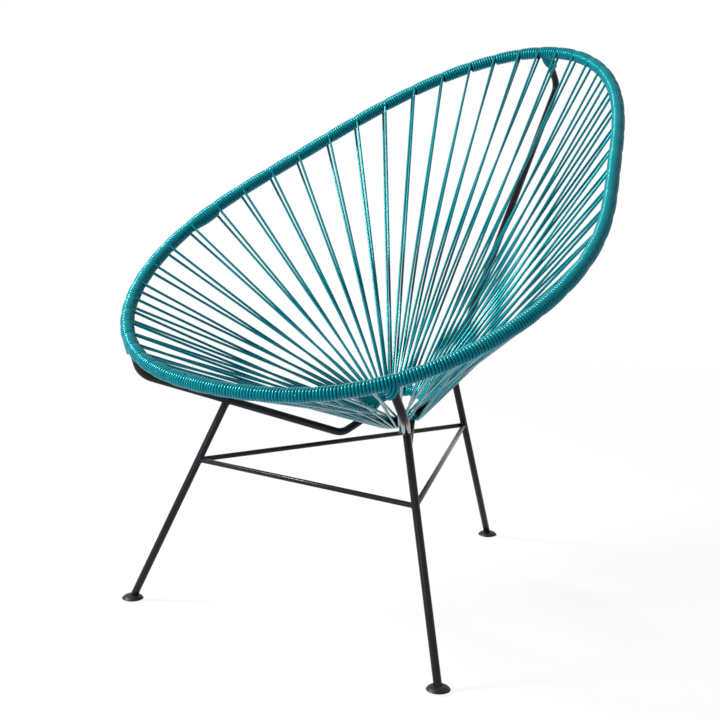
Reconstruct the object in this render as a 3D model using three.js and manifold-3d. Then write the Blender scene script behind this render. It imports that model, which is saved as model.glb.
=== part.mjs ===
// Acapulco chair: one cord wound round an egg-shaped steel hoop and strung to a small seat ring.
// Three bent bars, three legs and three braces carry the hoop and the ring. The chair has no joints.
// Millimetres and degrees, +Z up. The sitter faces -Y, and +X is the sitter's left.
import * as THREE from "three";
import { mergeVertices } from "three/addons/utils/BufferGeometryUtils.js";
import Module from "manifold-3d";

const wasm = await Module();
wasm.setup();

// Clearance between pieces that touch, and how far a cut runs past what it cuts.
const clearance = 0.3;
const overrun = 6;

// The cord, relaxed where it is wound and thinner where it is strung.
const woundCordDiameter = 4.5;
const strungCordDiameter = 4.2;

// The hoop lies in a plane that rises to the back. Its length is taken along that slope.
const hoopTubeDiameter = 10;
const hoopLength = 1040;
const hoopHalfWidth = 361;
const hoopSag = 8.5;
const hoopTiltDegrees = 28;
const hoopFrontForward = 480;
const hoopFrontHeight = 401;
// How far the outline is wider, fuller or squarer than an ellipse, as shares of its half sizes.
const hoopWidthShares = [1, 0.015, 0.015, -0.043];
const hoopLengthShares = [0.063, 0.048, 0.049];

// Turns of cord between one pair of strings and the next, from the middle of the back to the front.
const turnsBetweenLeftPairs = [
  5, 9, 10, 11, 11, 12, 14, 14, 14, 14, 13, 13, 13, 14, 14, 12, 12, 10, 8, 8, 8, 8, 8, 8, 9, 8, 9, 4,
];
const turnsBetweenRightPairs = [
  3, 8, 10, 10, 12, 13, 14, 14, 14, 15, 13, 14, 13, 14, 14, 12, 12, 10, 8, 8, 8, 8, 8, 8, 9, 8, 9, 4,
];
// Turns from a pair's place to where its upper and its lower string leave the winding.
const upperStringTurns = 0.5;
const lowerStringTurns = -0.5;

// The seat ring, at the bottom of the web.
const ringTubeDiameter = 10;
const ringDiameter = 90;
const ringForward = 35;
const ringHeight = 302;
const ringTiltDegrees = 26;
// How far the cord moves on along the ring while it passes round it.
const ringPassStep = 4.3;
// Angle from the middle of the back to where a side bar meets the ring.
const sideBarRingDegrees = 121;

// The bent bars. Each has one end on the hoop and one on the ring. The upper bends are placed from
// the bar's root on the hoop, and the lower ones from the middle of the ring.
const barDiameter = 12.5;
const sideRootShare = 0.8245;
const sideElbowOut = 7.2;
const sideElbowBack = 27.5;
const sideElbowDrop = 54;
const sideElbowRadius = 40;
const sideHeelOut = 64;
const sideHeelForward = 66;
const sideHeelDrop = 42;
const sideHeelRadius = 28;
const spineShoulderBack = 49.7;
const spineShoulderDrop = 58.3;
const spineShoulderRadius = 20;
const spineHeelBack = 128;
const spineHeelDrop = 10;
const spineHeelRadius = 28;
// How far under the ring's centreline the ends of the bars come in.
const barEndDrop = 4;

// The cord wrapped round the root of each bar, as a sleeve that narrows from one distance from the
// hoop to another.
const rootWrapStart = 6;
const rootWrapEnd = 26;
const rootWrapStartDiameter = 32;

// Legs, with their tops as shares of the bars' straight runs, and the braces between them.
const legDiameter = 12;
const frontFootOut = 284;
const frontFootForward = 358;
const frontLegRunShare = 0.413;
const rearFootBack = 290;
const rearLegRunShare = 0.102;
const braceDiameter = 8;
const braceHeight = 232;

// Foot glides, turned discs with a socket for the end of the leg. The edge stands clear of the floor.
const glideDiameter = 34;
const glideBaseDiameter = 18;
const glideEdgeHeight = 3.2;
const glideEdgeThickness = 1;
const glideNeckDiameter = 17;
const glideHeight = 9;
const glideSocketFloor = 3.6;

// Fineness of round sections, bends and turned faces.
const tubeSides = 8;
const cordSides = 6;
const barSides = 10;
const legSides = 12;
const glideSides = 20;
const glideDomeSteps = 3;
const ringSteps = 36;
const loopSteps = 4;
const bendStepDegrees = 15;
const hoopLineSteps = 1200;

const degrees = Math.PI / 180;
const at = (x, y, z) => new THREE.Vector3(x, y, z);
const sum = (a, b, times = 1) => a.clone().addScaledVector(b, times);
const toward = (a, b) => b.clone().sub(a).normalize();
const across = (a, b) => a.clone().cross(b).normalize();

// A closed three.js geometry as a solid that can be joined and cut.
function solidOf(geometry) {
  geometry.deleteAttribute("normal");
  geometry.deleteAttribute("uv");
  const merged = mergeVertices(geometry);
  const vertProperties = merged.attributes.position.array;
  const triVerts = Uint32Array.from(merged.index.array);
  return new wasm.Manifold(new wasm.Mesh({ numProp: 3, vertProperties, triVerts }));
}

// A solid as a named mesh with a material of its own.
function meshOf(name, solid, finish) {
  const { vertProperties, triVerts } = solid.getMesh();
  const geometry = new THREE.BufferGeometry();
  geometry.setAttribute("position", new THREE.BufferAttribute(vertProperties, 3));
  geometry.setIndex(new THREE.BufferAttribute(triVerts, 1));
  geometry.computeVertexNormals();
  const mesh = new THREE.Mesh(geometry, new THREE.MeshStandardMaterial(finish));
  mesh.name = name;
  return mesh;
}

// A path whose places are given: at each a point, a tangent and the two directions of the section.
class Route extends THREE.Curve {
  constructor(places) {
    super();
    this.places = places;
  }
  getSpacedPoints() {
    return this.places.map((place) => place.point.clone());
  }
  computeFrenetFrames() {
    const all = (key) => this.places.map((place) => place[key].clone());
    return { tangents: all("tangent"), normals: all("normal"), binormals: all("binormal") };
  }
}

// The place on a path at a point between its neighbours, with its normal kept near a wanted one.
function placeBetween(before, point, after, wanted) {
  const tangent = at(0, 0, 0);
  if (before) tangent.add(toward(before, point));
  if (after) tangent.add(toward(point, after));
  tangent.normalize();
  const normal = wanted.clone().projectOnPlane(tangent).normalize();
  return { point, tangent, normal, binormal: tangent.clone().cross(normal) };
}

// Places along an open line of points, each section turned as little as can be from the last.
function placesAlong(points, wanted) {
  let normal = wanted;
  return points.map((point, i) => {
    const place = placeBetween(points[i - 1], point, points[i + 1], normal);
    normal = place.normal;
    return place;
  });
}

// A round bar of the given radius along places.
function sweep(places, radius, sides) {
  const section = new THREE.Shape().absarc(0, 0, radius, 0, 2 * Math.PI);
  const steps = places.length - 1;
  const extrudePath = new Route(places);
  return solidOf(new THREE.ExtrudeGeometry(section, { steps, extrudePath, curveSegments: sides / 2 }));
}

// A straight rod between two points, which may taper.
function rod(from, to, radius, sides, radiusAtEnd = radius) {
  const geometry = new THREE.CylinderGeometry(radiusAtEnd, radius, from.distanceTo(to), sides);
  geometry.applyQuaternion(new THREE.Quaternion().setFromUnitVectors(at(0, 1, 0), toward(from, to)));
  const middle = from.clone().lerp(to, 1 / 2);
  return solidOf(geometry.translate(middle.x, middle.y, middle.z));
}

// What is left of a solid on the side of a plane that its normal points to.
function trimmed(solid, point, normal) {
  const block = new THREE.BoxGeometry(hoopLength, hoopLength, hoopLength);
  block.translate(0, 0, -hoopLength / 2);
  block.applyQuaternion(new THREE.Quaternion().setFromUnitVectors(at(0, 0, 1), normal));
  return solid.subtract(solidOf(block.translate(point.x, point.y, point.z)));
}

// The points of a bent bar: straight through its corners, each rounded to its bend radius.
function bentLine(corners, radii) {
  const bends = radii.flatMap((radius, i) => {
    const [before, corner, after] = corners.slice(i, i + 3);
    const incoming = toward(before, corner);
    const turn = incoming.angleTo(toward(corner, after));
    const axis = across(incoming, toward(corner, after));
    const start = sum(corner, incoming, -radius * Math.tan(turn / 2));
    const spoke = axis.clone().cross(incoming).multiplyScalar(-radius);
    const centre = start.clone().sub(spoke);
    const steps = Math.ceil(turn / (bendStepDegrees * degrees));
    return Array.from({ length: steps + 1 }, (_, s) =>
      sum(centre, spoke.clone().applyAxisAngle(axis, (turn * s) / steps)));
  });
  return [corners[0], ...bends, corners.at(-1)];
}

// The hoop's centreline, from the back tip along the sitter's left to the front tip and round again.
const hoopUp = at(0, -Math.sin(hoopTiltDegrees * degrees), Math.cos(hoopTiltDegrees * degrees));
class HoopLine extends THREE.Curve {
  getPoint(share) {
    const t = Math.PI * (1 - 2 * share);
    const waves = hoopWidthShares.map((wave, i) => wave * Math.sin((i + 1) * t));
    const x = hoopHalfWidth * waves.reduce((a, b) => a + b);
    const [narrow, full, square] = hoopLengthShares;
    const rise = 1 - (1 - full) * Math.cos(t) - full * Math.cos(3 * t)
      - narrow * (1 - Math.cos(2 * t)) - square * (1 - Math.cos(4 * t));
    const along = at(0, Math.cos(hoopTiltDegrees * degrees), Math.sin(hoopTiltDegrees * degrees));
    const point = at(x, -hoopFrontForward, hoopFrontHeight);
    point.addScaledVector(along, (hoopLength / 2) * rise);
    return point.addScaledVector(hoopUp, -hoopSag * Math.sin(t) ** 2);
  }
}
const hoopLine = new HoopLine();
hoopLine.arcLengthDivisions = hoopLineSteps;
const hoopRound = hoopLine.getLength();
const turnsOneSide = turnsBetweenLeftPairs.reduce((a, b) => a + b);
const turnPitch = hoopRound / 2 / turnsOneSide;

// How far round the hoop the pairs of strings lie, on each side from the back.
function roundsFromBack(turnsBetweenPairs) {
  let turnsSoFar = 0;
  return turnsBetweenPairs.slice(0, -1).map((turns) => (turnsSoFar += turns) * turnPitch);
}
const leftPairs = roundsFromBack(turnsBetweenLeftPairs);
const rightPairs = roundsFromBack(turnsBetweenRightPairs).map((round) => hoopRound - round);
const midway = (list) => list.slice(1).map((round, i) => (round + list[i]) / 2);

// Places round the hoop at the tips and midway between pairs, and one more past each end.
const shareOf = (round) => THREE.MathUtils.euclideanModulo(round, hoopRound) / hoopRound;
function hoopPlacesMade() {
  const rounds = [0, ...midway(leftPairs), hoopRound / 2, ...midway(rightPairs).reverse(), hoopRound];
  rounds.unshift(rounds.at(-2) - hoopRound);
  rounds.push(rounds[2] + hoopRound);
  const points = rounds.map((round) => hoopLine.getPointAt(shareOf(round)));
  const place = (i) => placeBetween(points[i - 1], points[i], points[i + 1], hoopUp);
  return rounds.map((round, i) => ({ ...place(i), round }));
}
const hoopPlaces = hoopPlacesMade();

// The place at a distance round a loop, on the straight stretch between its two neighbours.
function placeAt(places, round) {
  const i = Math.max(places.findIndex((place) => place.round >= round), 1);
  const [a, b] = [places[i - 1], places[i]];
  const share = (round - a.round) / (b.round - a.round);
  const mix = (key) => a[key].clone().lerp(b[key], share);
  const [point, tangent, normal, binormal] = ["point", "tangent", "normal", "binormal"].map(mix);
  return { point, tangent, normal, binormal, round };
}
function placesFrom(places, from, to) {
  const inner = places.filter((place) => place.round > from && place.round < to);
  return [placeAt(places, from), ...inner, placeAt(places, to)];
}

// The seat ring's centreline, from the back along the sitter's left.
const ringRadius = ringDiameter / 2;
const ringUp = at(0, -Math.sin(ringTiltDegrees * degrees), Math.cos(ringTiltDegrees * degrees));
const ringBack = at(0, Math.cos(ringTiltDegrees * degrees), Math.sin(ringTiltDegrees * degrees));
const ringCentre = at(0, -ringForward, ringHeight);
const ringOutward = (angle) => at(Math.sin(angle), 0, 0).addScaledVector(ringBack, Math.cos(angle));
const ringPoint = (angle) => sum(ringCentre, ringOutward(angle), ringRadius);
const ringTangent = (angle) => at(Math.cos(angle), 0, 0).addScaledVector(ringBack, -Math.sin(angle));
const ringPlaces = Array.from({ length: ringSteps + 3 }, (_, i) => {
  const angle = ((i - 1) / ringSteps) * 2 * Math.PI;
  const tangent = ringTangent(angle);
  const binormal = tangent.clone().cross(ringUp);
  return { point: ringPoint(angle), tangent, normal: ringUp, binormal, round: angle };
});

// A closed tube, made as two halves that are joined end to end.
function loopTube(places, whole, radius) {
  const first = sweep(placesFrom(places, 0, whole / 2), radius, tubeSides);
  return first.add(sweep(placesFrom(places, whole / 2, whole), radius, tubeSides));
}
const hoopTubeRadius = hoopTubeDiameter / 2;
const ringTubeRadius = ringTubeDiameter / 2;
const hoopTube = () => loopTube(hoopPlaces, hoopRound, hoopTubeRadius);
const ringTube = () => loopTube(ringPlaces, 2 * Math.PI, ringTubeRadius);
const hoopCut = loopTube(hoopPlaces, hoopRound, hoopTubeRadius + clearance);
const ringCut = loopTube(ringPlaces, 2 * Math.PI, ringTubeRadius + clearance);

// The bars' lines, from the hoop to the ring. side is 1 on the sitter's left and -1 on the right.
const barRadius = barDiameter / 2;
const barEnd = (angle) => sum(ringPoint(angle), ringUp, -barEndDrop);
const sideShare = (side, share) => (side > 0 ? share / 2 : 1 - share / 2);
function sideBarCorners(side) {
  const root = hoopLine.getPointAt(sideShare(side, sideRootShare));
  const elbow = sum(root, at(side * sideElbowOut, sideElbowBack, -sideElbowDrop));
  const heel = sum(ringCentre, at(side * sideHeelOut, -sideHeelForward, -sideHeelDrop));
  return [root, elbow, heel, barEnd(side * sideBarRingDegrees * degrees)];
}
function spineCorners() {
  const root = hoopLine.getPointAt(0);
  const shoulder = sum(root, at(0, spineShoulderBack, -spineShoulderDrop));
  const heel = sum(ringCentre, at(0, spineHeelBack, -spineHeelDrop));
  return [root, shoulder, heel, barEnd(0)];
}
const sideRadii = [sideElbowRadius, sideHeelRadius];
const spineRadii = [spineShoulderRadius, spineHeelRadius];
function bentBar(corners, radii, radius) {
  return sweep(placesAlong(bentLine(corners, radii), at(1, 0, 0)), radius, barSides);
}
const sideBarSolid = (side, radius) => bentBar(sideBarCorners(side), sideRadii, radius);
const spineSolid = (radius) => bentBar(spineCorners(), spineRadii, radius);
const barCuts = [-1, 1].map((side) => sideBarSolid(side, barRadius + clearance));
barCuts.push(spineSolid(barRadius + clearance));
const sideBar = (side) => sideBarSolid(side, barRadius).subtract(hoopCut).subtract(ringCut);
const spineBar = () => spineSolid(barRadius).subtract(hoopCut).subtract(ringCut);

// A leg runs from the socket of its glide to its bar. Its line crosses the glide's axis at the floor
// of the socket.
const legRadius = legDiameter / 2;
const braceRadius = braceDiameter / 2;
function legLine(foot, corners, share) {
  const top = corners[1].clone().lerp(corners[2], share);
  return { foot, top, floor: sum(foot, at(0, 0, 1), glideSocketFloor) };
}
const frontLine = (side) =>
  legLine(at(side * frontFootOut, -frontFootForward, 0), sideBarCorners(side), frontLegRunShare);
const rearLine = () => legLine(at(0, rearFootBack, 0), spineCorners(), 1 - rearLegRunShare);
function legSolid(line, radius, lift) {
  const bottom = sum(line.floor, toward(line.top, line.floor), overrun);
  return trimmed(rod(bottom, line.top, radius, legSides), sum(line.floor, at(0, 0, 1), lift), at(0, 0, 1));
}
const legOn = (line, barCut) => legSolid(line, legRadius, clearance).subtract(barCut);
const legCut = (line) => legSolid(line, legRadius + clearance, 0);

// A turned glide: flat under, thin at its edge, domed up to a neck that holds the leg.
function glide(line) {
  const [base, edge, neck] = [glideBaseDiameter, glideDiameter, glideNeckDiameter].map((size) => size / 2);
  const shoulder = glideEdgeHeight + glideEdgeThickness;
  const profile = new THREE.Path().moveTo(0, 0).lineTo(base, 0).lineTo(edge, glideEdgeHeight);
  profile.lineTo(edge, shoulder).quadraticCurveTo((edge + neck) / 2, glideHeight, neck, glideHeight);
  profile.lineTo(0, glideHeight);
  const turned = new THREE.LatheGeometry(profile.getPoints(glideDomeSteps), glideSides);
  turned.rotateX(Math.PI / 2).translate(line.foot.x, line.foot.y, 0);
  return solidOf(turned).subtract(legCut(line));
}

// A level brace between two legs, its ends cut to the legs and clear of the next brace on the same leg.
const atBraceHeight = (line) =>
  line.floor.clone().lerp(line.top, (braceHeight - line.floor.z) / (line.top.z - line.floor.z));
function brace(from, to, nextFrom, nextTo) {
  const [a, b, c, d] = [from, to, nextFrom, nextTo].map(atBraceHeight);
  const blank = rod(a, b, braceRadius, legSides).subtract(legCut(from)).subtract(legCut(to));
  return mitred(mitred(blank, a, b, c), b, a, d);
}
function mitred(blank, corner, end, otherEnd) {
  const away = toward(corner, end).sub(toward(corner, otherEnd)).normalize();
  return trimmed(blank, sum(corner, away, clearance / 2), away);
}

// One pass of the cord: off the top of the winding, under the ring and round it, and back under the
// winding. Its two strings cross on the way, and the cord moves on along the hoop and the ring.
const windingRadius = hoopTubeRadius + clearance + woundCordDiameter / 2;
const strungRadius = strungCordDiameter / 2;
const loopRadius = (ringTubeRadius + clearance + strungRadius) / Math.cos(Math.PI / 2 / loopSteps);
const passAngle = ringPassStep / ringRadius;
function stringEnd(round, angle, upperSign) {
  const hoopPlace = placeAt(hoopPlaces, shareOf(round) * hoopRound);
  const run = toward(hoopPlace.point, ringPoint(angle));
  const offHoop = across(hoopPlace.tangent, run);
  const offRing = across(ringTangent(angle), run);
  offHoop.multiplyScalar(Math.sign(offHoop.dot(hoopUp)) * upperSign);
  offRing.multiplyScalar(-Math.sign(offRing.dot(ringUp)) * upperSign);
  const start = sum(hoopPlace.point, offHoop, windingRadius);
  return { start, offRing, ring: sum(ringPoint(angle), offRing, loopRadius) };
}
function cordPass(round, angle, radius = strungRadius) {
  const upper = stringEnd(round + upperStringTurns * turnPitch, angle + passAngle / 2, 1);
  const lower = stringEnd(round + lowerStringTurns * turnPitch, angle - passAngle / 2, -1);
  const axis = across(upper.offRing, ringOutward(angle).negate());
  const inner = Array.from({ length: loopSteps - 1 }, (_, i) => {
    const share = (i + 1) / loopSteps;
    const spoke = upper.offRing.clone().applyAxisAngle(axis, share * Math.PI);
    return sum(ringPoint(angle + passAngle * (1 / 2 - share)), spoke, loopRadius);
  });
  const [over, under] = crossing(upper, lower);
  const points = [upper.start, ...over, upper.ring, ...inner, lower.ring, ...under, lower.start];
  return sweep(placesAlong(points, upper.offRing), radius, cordSides);
}

// The points where a pair's strings bow apart to pass each other, or none where they pass clear.
function crossing(upper, lower) {
  const share = 1 / (1 + loopRadius / windingRadius);
  const [a, b] = [upper, lower].map((end) => end.start.clone().lerp(end.ring, share));
  const gap = a.clone().sub(b);
  const lack = strungCordDiameter - gap.length();
  if (lack < 0) return [[], []];
  gap.setLength((lack + clearance) / 2);
  return [[sum(a, gap)], [sum(b, gap, -1)]];
}

// Where the passes lie round the ring: evenly, but clear of the three bars' ends.
const endWindow = Math.asin((barRadius + clearance + strungRadius) / ringRadius) + passAngle / 2;
const pairCount = leftPairs.length;
const sideBarRing = sideBarRingDegrees * degrees;
const rearPairs = Math.round((pairCount * (sideBarRing - 2 * endWindow)) / (Math.PI - 3 * endWindow));
function ringAngle(i) {
  if (i < rearPairs) return endWindow + ((sideBarRing - 2 * endWindow) * i) / (rearPairs - 1);
  const frontStart = sideBarRing + endWindow;
  return frontStart + ((Math.PI - frontStart) * (i - rearPairs)) / (pairCount - rearPairs - 1 / 2);
}
const ringAngles = leftPairs.map((_, i) => ringAngle(i));

// The web is made in sectors, each a stretch of the hoop's winding with its pairs of strings.
const pairsInSectors = [4, 4, 5, 5, 3, 3, 3];
const wrapRadius = hoopTubeRadius + clearance + woundCordDiameter;
function windingBetween(from, to) {
  const places = placesFrom(hoopPlaces, from + clearance / 2, to - clearance / 2);
  return sweep(places, wrapRadius, tubeSides).subtract(hoopCut);
}
// A block across the ring, past an angle on its way round, which keeps a sector's passes clear of the
// next. It leans as the passes do.
function ringGap(angle, way) {
  const depth = 2 * (ringTubeRadius + clearance + strungCordDiameter) + overrun;
  const block = new THREE.BoxGeometry(overrun, depth, depth);
  block.translate((way * (overrun - clearance)) / 2, 0, 0);
  const lean = ringPassStep / 2 / loopRadius;
  const [normal, up] = [sum(ringTangent(angle), ringUp, lean), sum(ringUp, ringTangent(angle), -lean)];
  block.applyMatrix4(new THREE.Matrix4().makeBasis(normal.normalize(), ringOutward(angle), up.normalize()));
  const { x, y, z } = ringPoint(angle);
  return solidOf(block.translate(x, y, z));
}
function sector(side, index) {
  const first = pairsInSectors.slice(0, index).reduce((a, b) => a + b, 0);
  const last = first + pairsInSectors[index] - 1;
  const pairs = side > 0 ? leftPairs : rightPairs;
  const ends = [side > 0 ? 0 : hoopRound, ...midway(pairs), hoopRound / 2];
  const gaps = [0, ...midway(ringAngles), Math.PI];
  const [from, to] = [ends[first], ends[last + 1]];
  let web = windingBetween(Math.min(from, to), Math.max(from, to));
  for (let i = first; i <= last; i++) web = web.add(cordPass(pairs[i], side * ringAngles[i]));
  const ringGaps = [ringGap(side * gaps[first], -side), ringGap(side * gaps[last + 1], side)];
  const cuts = [...ringGaps, ...barCuts];
  return cuts.reduce((left, cut) => left.subtract(cut), web);
}

// The cord wrapped round a bar's root, clear of the hoop's winding and of the strings beside it.
const windingCut = loopTube(hoopPlaces, hoopRound, wrapRadius + clearance);
const rootWrapRadius = barRadius + clearance + woundCordDiameter;
function rootWrap(side, corners, barCut) {
  const along = toward(corners[0], corners[1]);
  const [from, to] = [rootWrapStart, rootWrapEnd].map((run) => sum(corners[0], along, run));
  const pairs = side > 0 ? leftPairs : rightPairs;
  const reach = rootWrapStartDiameter / 2 + strungCordDiameter;
  const near = pairs.map((round, i) => [round, side * ringAngles[i]]).filter(
    ([round]) => hoopLine.getPointAt(shareOf(round)).distanceTo(corners[0]) < reach);
  const passes = near.map(([round, angle]) => cordPass(round, angle, strungRadius + clearance));
  const sleeve = rod(from, to, rootWrapStartDiameter / 2, barSides, rootWrapRadius);
  return [barCut, windingCut, ...passes].reduce((left, cut) => left.subtract(cut), sleeve);
}

// The finished chair, stood with the middle of its outer box over the origin.
const cord = { color: 0x0f8488, roughness: 0.3, metalness: 0 };
const blackSteel = { color: 0x1d2023, roughness: 0.42, metalness: 0.2 };
const chair = new THREE.Group();
const sides = { left: 1, right: -1 };
const lines = { left: frontLine(1), right: frontLine(-1), rear: rearLine() };
chair.add(meshOf("hoop_tube", hoopTube(), blackSteel));
chair.add(meshOf("seat_ring_tube", ringTube(), blackSteel));
chair.add(meshOf("spine_bar", spineBar(), blackSteel));
chair.add(meshOf("root_wrap_back", rootWrap(1, spineCorners(), barCuts[2]), cord));
chair.add(meshOf("rear_leg", legOn(lines.rear, barCuts[2]), blackSteel));
chair.add(meshOf("rear_glide", glide(lines.rear), blackSteel));
chair.add(meshOf("front_brace", brace(lines.left, lines.right, lines.rear, lines.rear), blackSteel));
for (const [name, side] of Object.entries(sides)) {
  const [line, other] = side > 0 ? [lines.left, lines.right] : [lines.right, lines.left];
  const barCut = barCuts[side > 0 ? 1 : 0];
  chair.add(meshOf(`side_bar_${name}`, sideBar(side), blackSteel));
  chair.add(meshOf(`root_wrap_${name}`, rootWrap(side, sideBarCorners(side), barCut), cord));
  chair.add(meshOf(`front_leg_${name}`, legOn(line, barCut), blackSteel));
  chair.add(meshOf(`front_glide_${name}`, glide(line), blackSteel));
  chair.add(meshOf(`side_brace_${name}`, brace(line, lines.rear, other, other), blackSteel));
  pairsInSectors.forEach((_, i) => chair.add(meshOf(`cord_web_${name}_${i + 1}`, sector(side, i), cord)));
}
const middle = new THREE.Box3().setFromObject(chair).getCenter(at(0, 0, 0));
chair.position.set(-middle.x, -middle.y, 0);

export default chair;
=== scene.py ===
"""Looks of the acapulco chair: its cord, its black steel frame and the studio round it.

One cord is wound round an egg-shaped hoop and strung to a small seat ring. Three bent bars, three legs
and three braces carry both. Fields hold millimetres and degrees; meshes are written in metres.
"""
import logging
import math
from dataclasses import dataclass, field
from enum import Enum
from typing import Optional, Sequence, Union

import bmesh
import bpy
import numpy as np
from bpy.types import ID, Material, Node, NodeSocket, Object, World
from mathutils import Euler, Matrix, Vector


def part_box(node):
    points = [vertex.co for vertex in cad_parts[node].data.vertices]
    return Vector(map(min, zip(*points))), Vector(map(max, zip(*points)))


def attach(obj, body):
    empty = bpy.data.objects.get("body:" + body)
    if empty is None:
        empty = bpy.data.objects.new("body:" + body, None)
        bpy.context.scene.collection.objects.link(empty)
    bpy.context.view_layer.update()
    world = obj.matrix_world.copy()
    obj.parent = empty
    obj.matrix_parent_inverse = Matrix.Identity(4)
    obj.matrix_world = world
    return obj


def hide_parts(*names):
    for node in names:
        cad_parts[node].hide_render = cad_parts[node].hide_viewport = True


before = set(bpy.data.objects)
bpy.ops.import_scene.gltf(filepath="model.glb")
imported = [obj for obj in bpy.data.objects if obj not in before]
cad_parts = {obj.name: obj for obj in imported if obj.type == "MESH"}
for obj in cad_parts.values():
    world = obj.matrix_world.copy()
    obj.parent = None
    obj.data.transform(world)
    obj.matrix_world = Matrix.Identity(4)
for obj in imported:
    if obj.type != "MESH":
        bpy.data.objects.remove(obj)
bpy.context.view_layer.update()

log = logging.getLogger("acapulco_chair")
MM = 0.001
TURN = 2 * math.pi
Array = np.ndarray
Couple = tuple[float, float]
Triple = tuple[float, float, float]
Colour = tuple[float, float, float, float]


class Side(Enum):
    """A side of the chair, as the sitter has it. +X is the sitter's left."""

    LEFT = 1
    RIGHT = -1

    @property
    def word(self) -> str:
        """The side's word in node names."""
        return self.name.lower()


class Slot(Enum):
    """The record's material slots."""

    STEEL = "black_steel"
    GLIDE = "black_glide"
    CORD = "teal_cord"


# Small geometry.


def vec(x: float, y: float, z: float) -> Array:
    """A point or direction as an array."""
    return np.array([x, y, z], float)


def unit(v: Array) -> Array:
    """The direction of a vector."""
    return v / np.linalg.norm(v)


def turned(v: Array, axis: Array, angle: float) -> Array:
    """A vector turned about a unit vector by an angle in radians, right-handed."""
    along = axis * np.dot(axis, v) * (1 - math.cos(angle))
    return v * math.cos(angle) + np.cross(axis, v) * math.sin(angle) + along


def pitch_axes(degrees: float) -> tuple[Array, Array]:
    """The normal and the rearward direction of a plane that rises to the back by so many degrees."""
    a = math.radians(degrees)
    return vec(0, -math.sin(a), math.cos(a)), vec(0, math.cos(a), math.sin(a))


# The two loops.


@dataclass(frozen=True)
class Place:
    """A place on a loop: a point, the way round, and the plane's normal square to it."""

    point: Array
    tangent: Array
    up: Array

    @property
    def inward(self) -> Array:
        """The direction square to the tube, into the loop."""
        return np.cross(self.tangent, self.up)


@dataclass
class HoopLine:
    """Centreline of the hoop, from the back tip along the sitter's left and round again."""

    length: float = 1040
    half_width: float = 361
    sag: float = 8.5
    tilt: float = 28
    front_forward: float = 480
    front_height: float = 401
    width_shares: tuple[float, ...] = (1, 0.015, 0.015, -0.043)
    length_shares: Triple = (0.063, 0.048, 0.049)
    fineness: int = 7200
    chord: float = 3

    def __post_init__(self) -> None:
        """Tables the line by its length."""
        self.up, self.along = pitch_axes(self.tilt)
        t = math.pi * (1 - 2 * np.linspace(0, 1, self.fineness + 1))
        x = self.half_width * sum(w * np.sin((i + 1) * t) for i, w in enumerate(self.width_shares))
        narrow, full, square = self.length_shares
        rise = (1 - (1 - full) * np.cos(t) - full * np.cos(3 * t)
                - narrow * (1 - np.cos(2 * t)) - square * (1 - np.cos(4 * t)))
        start = vec(0, -self.front_forward, self.front_height)
        self.points = (start + np.outer(x, vec(1, 0, 0)) + np.outer(rise * self.length / 2, self.along)
                       + np.outer(-self.sag * np.sin(t) ** 2, self.up))
        steps = np.linalg.norm(np.diff(self.points, axis=0), axis=1)
        self.rounds = np.concatenate([[0], np.cumsum(steps)])
        self.round = float(self.rounds[-1])

    def point(self, at: float) -> Array:
        """The point at a distance round the hoop, in millimetres."""
        at %= self.round
        return np.array([np.interp(at, self.rounds, self.points[:, k]) for k in range(3)])

    def place(self, at: float) -> Place:
        """The place at a distance round the hoop, in millimetres."""
        tangent = unit(self.point(at + self.chord) - self.point(at - self.chord))
        up = unit(self.up - tangent * np.dot(self.up, tangent))
        return Place(self.point(at), tangent, up)


@dataclass
class RingLine:
    """Centreline of the seat ring, from the back along the sitter's left."""

    diameter: float = 90
    forward: float = 35
    height: float = 302
    tilt: float = 26

    def __post_init__(self) -> None:
        """Sets the ring's plane."""
        self.up, self.back = pitch_axes(self.tilt)
        self.radius = self.diameter / 2
        self.centre = vec(0, -self.forward, self.height)

    def outward(self, angle: float) -> Array:
        """The direction out of the ring at an angle, in radians."""
        return vec(math.sin(angle), 0, 0) + self.back * math.cos(angle)

    def place(self, angle: float) -> Place:
        """The place on the ring at an angle, in radians."""
        tangent = vec(math.cos(angle), 0, 0) - self.back * math.sin(angle)
        return Place(self.centre + self.outward(angle) * self.radius, tangent, self.up)


@dataclass
class ChairSizes:
    """Sizes that more than one sub-assembly takes: the part's, but for wound cord 0.2 mm thicker."""

    clearance: float = 0.3
    wound_cord: float = 4.7
    strung_cord: float = 4.2
    hoop_tube: float = 10
    ring_tube: float = 10
    bar: float = 12.5
    side_bar_ring: float = 121
    bar_end_drop: float = 4
    hoop: HoopLine = field(default_factory=HoopLine)
    ring: RingLine = field(default_factory=RingLine)

    def bar_end(self, angle: float) -> Array:
        """The end of a bar under the ring's centreline, at an angle in radians."""
        return self.ring.place(angle).point - self.ring.up * self.bar_end_drop


# Meshes.


def linked(name: str, data: ID) -> Object:
    """A new object of some data, in the scene."""
    thing = bpy.data.objects.new(name, data)
    bpy.context.scene.collection.objects.link(thing)
    return thing


def leaned(run: Array) -> Euler:
    """The turn that lays +Z along a run."""
    return Vector((0, 0, 1)).rotation_difference(Vector(run)).to_euler()


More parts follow.
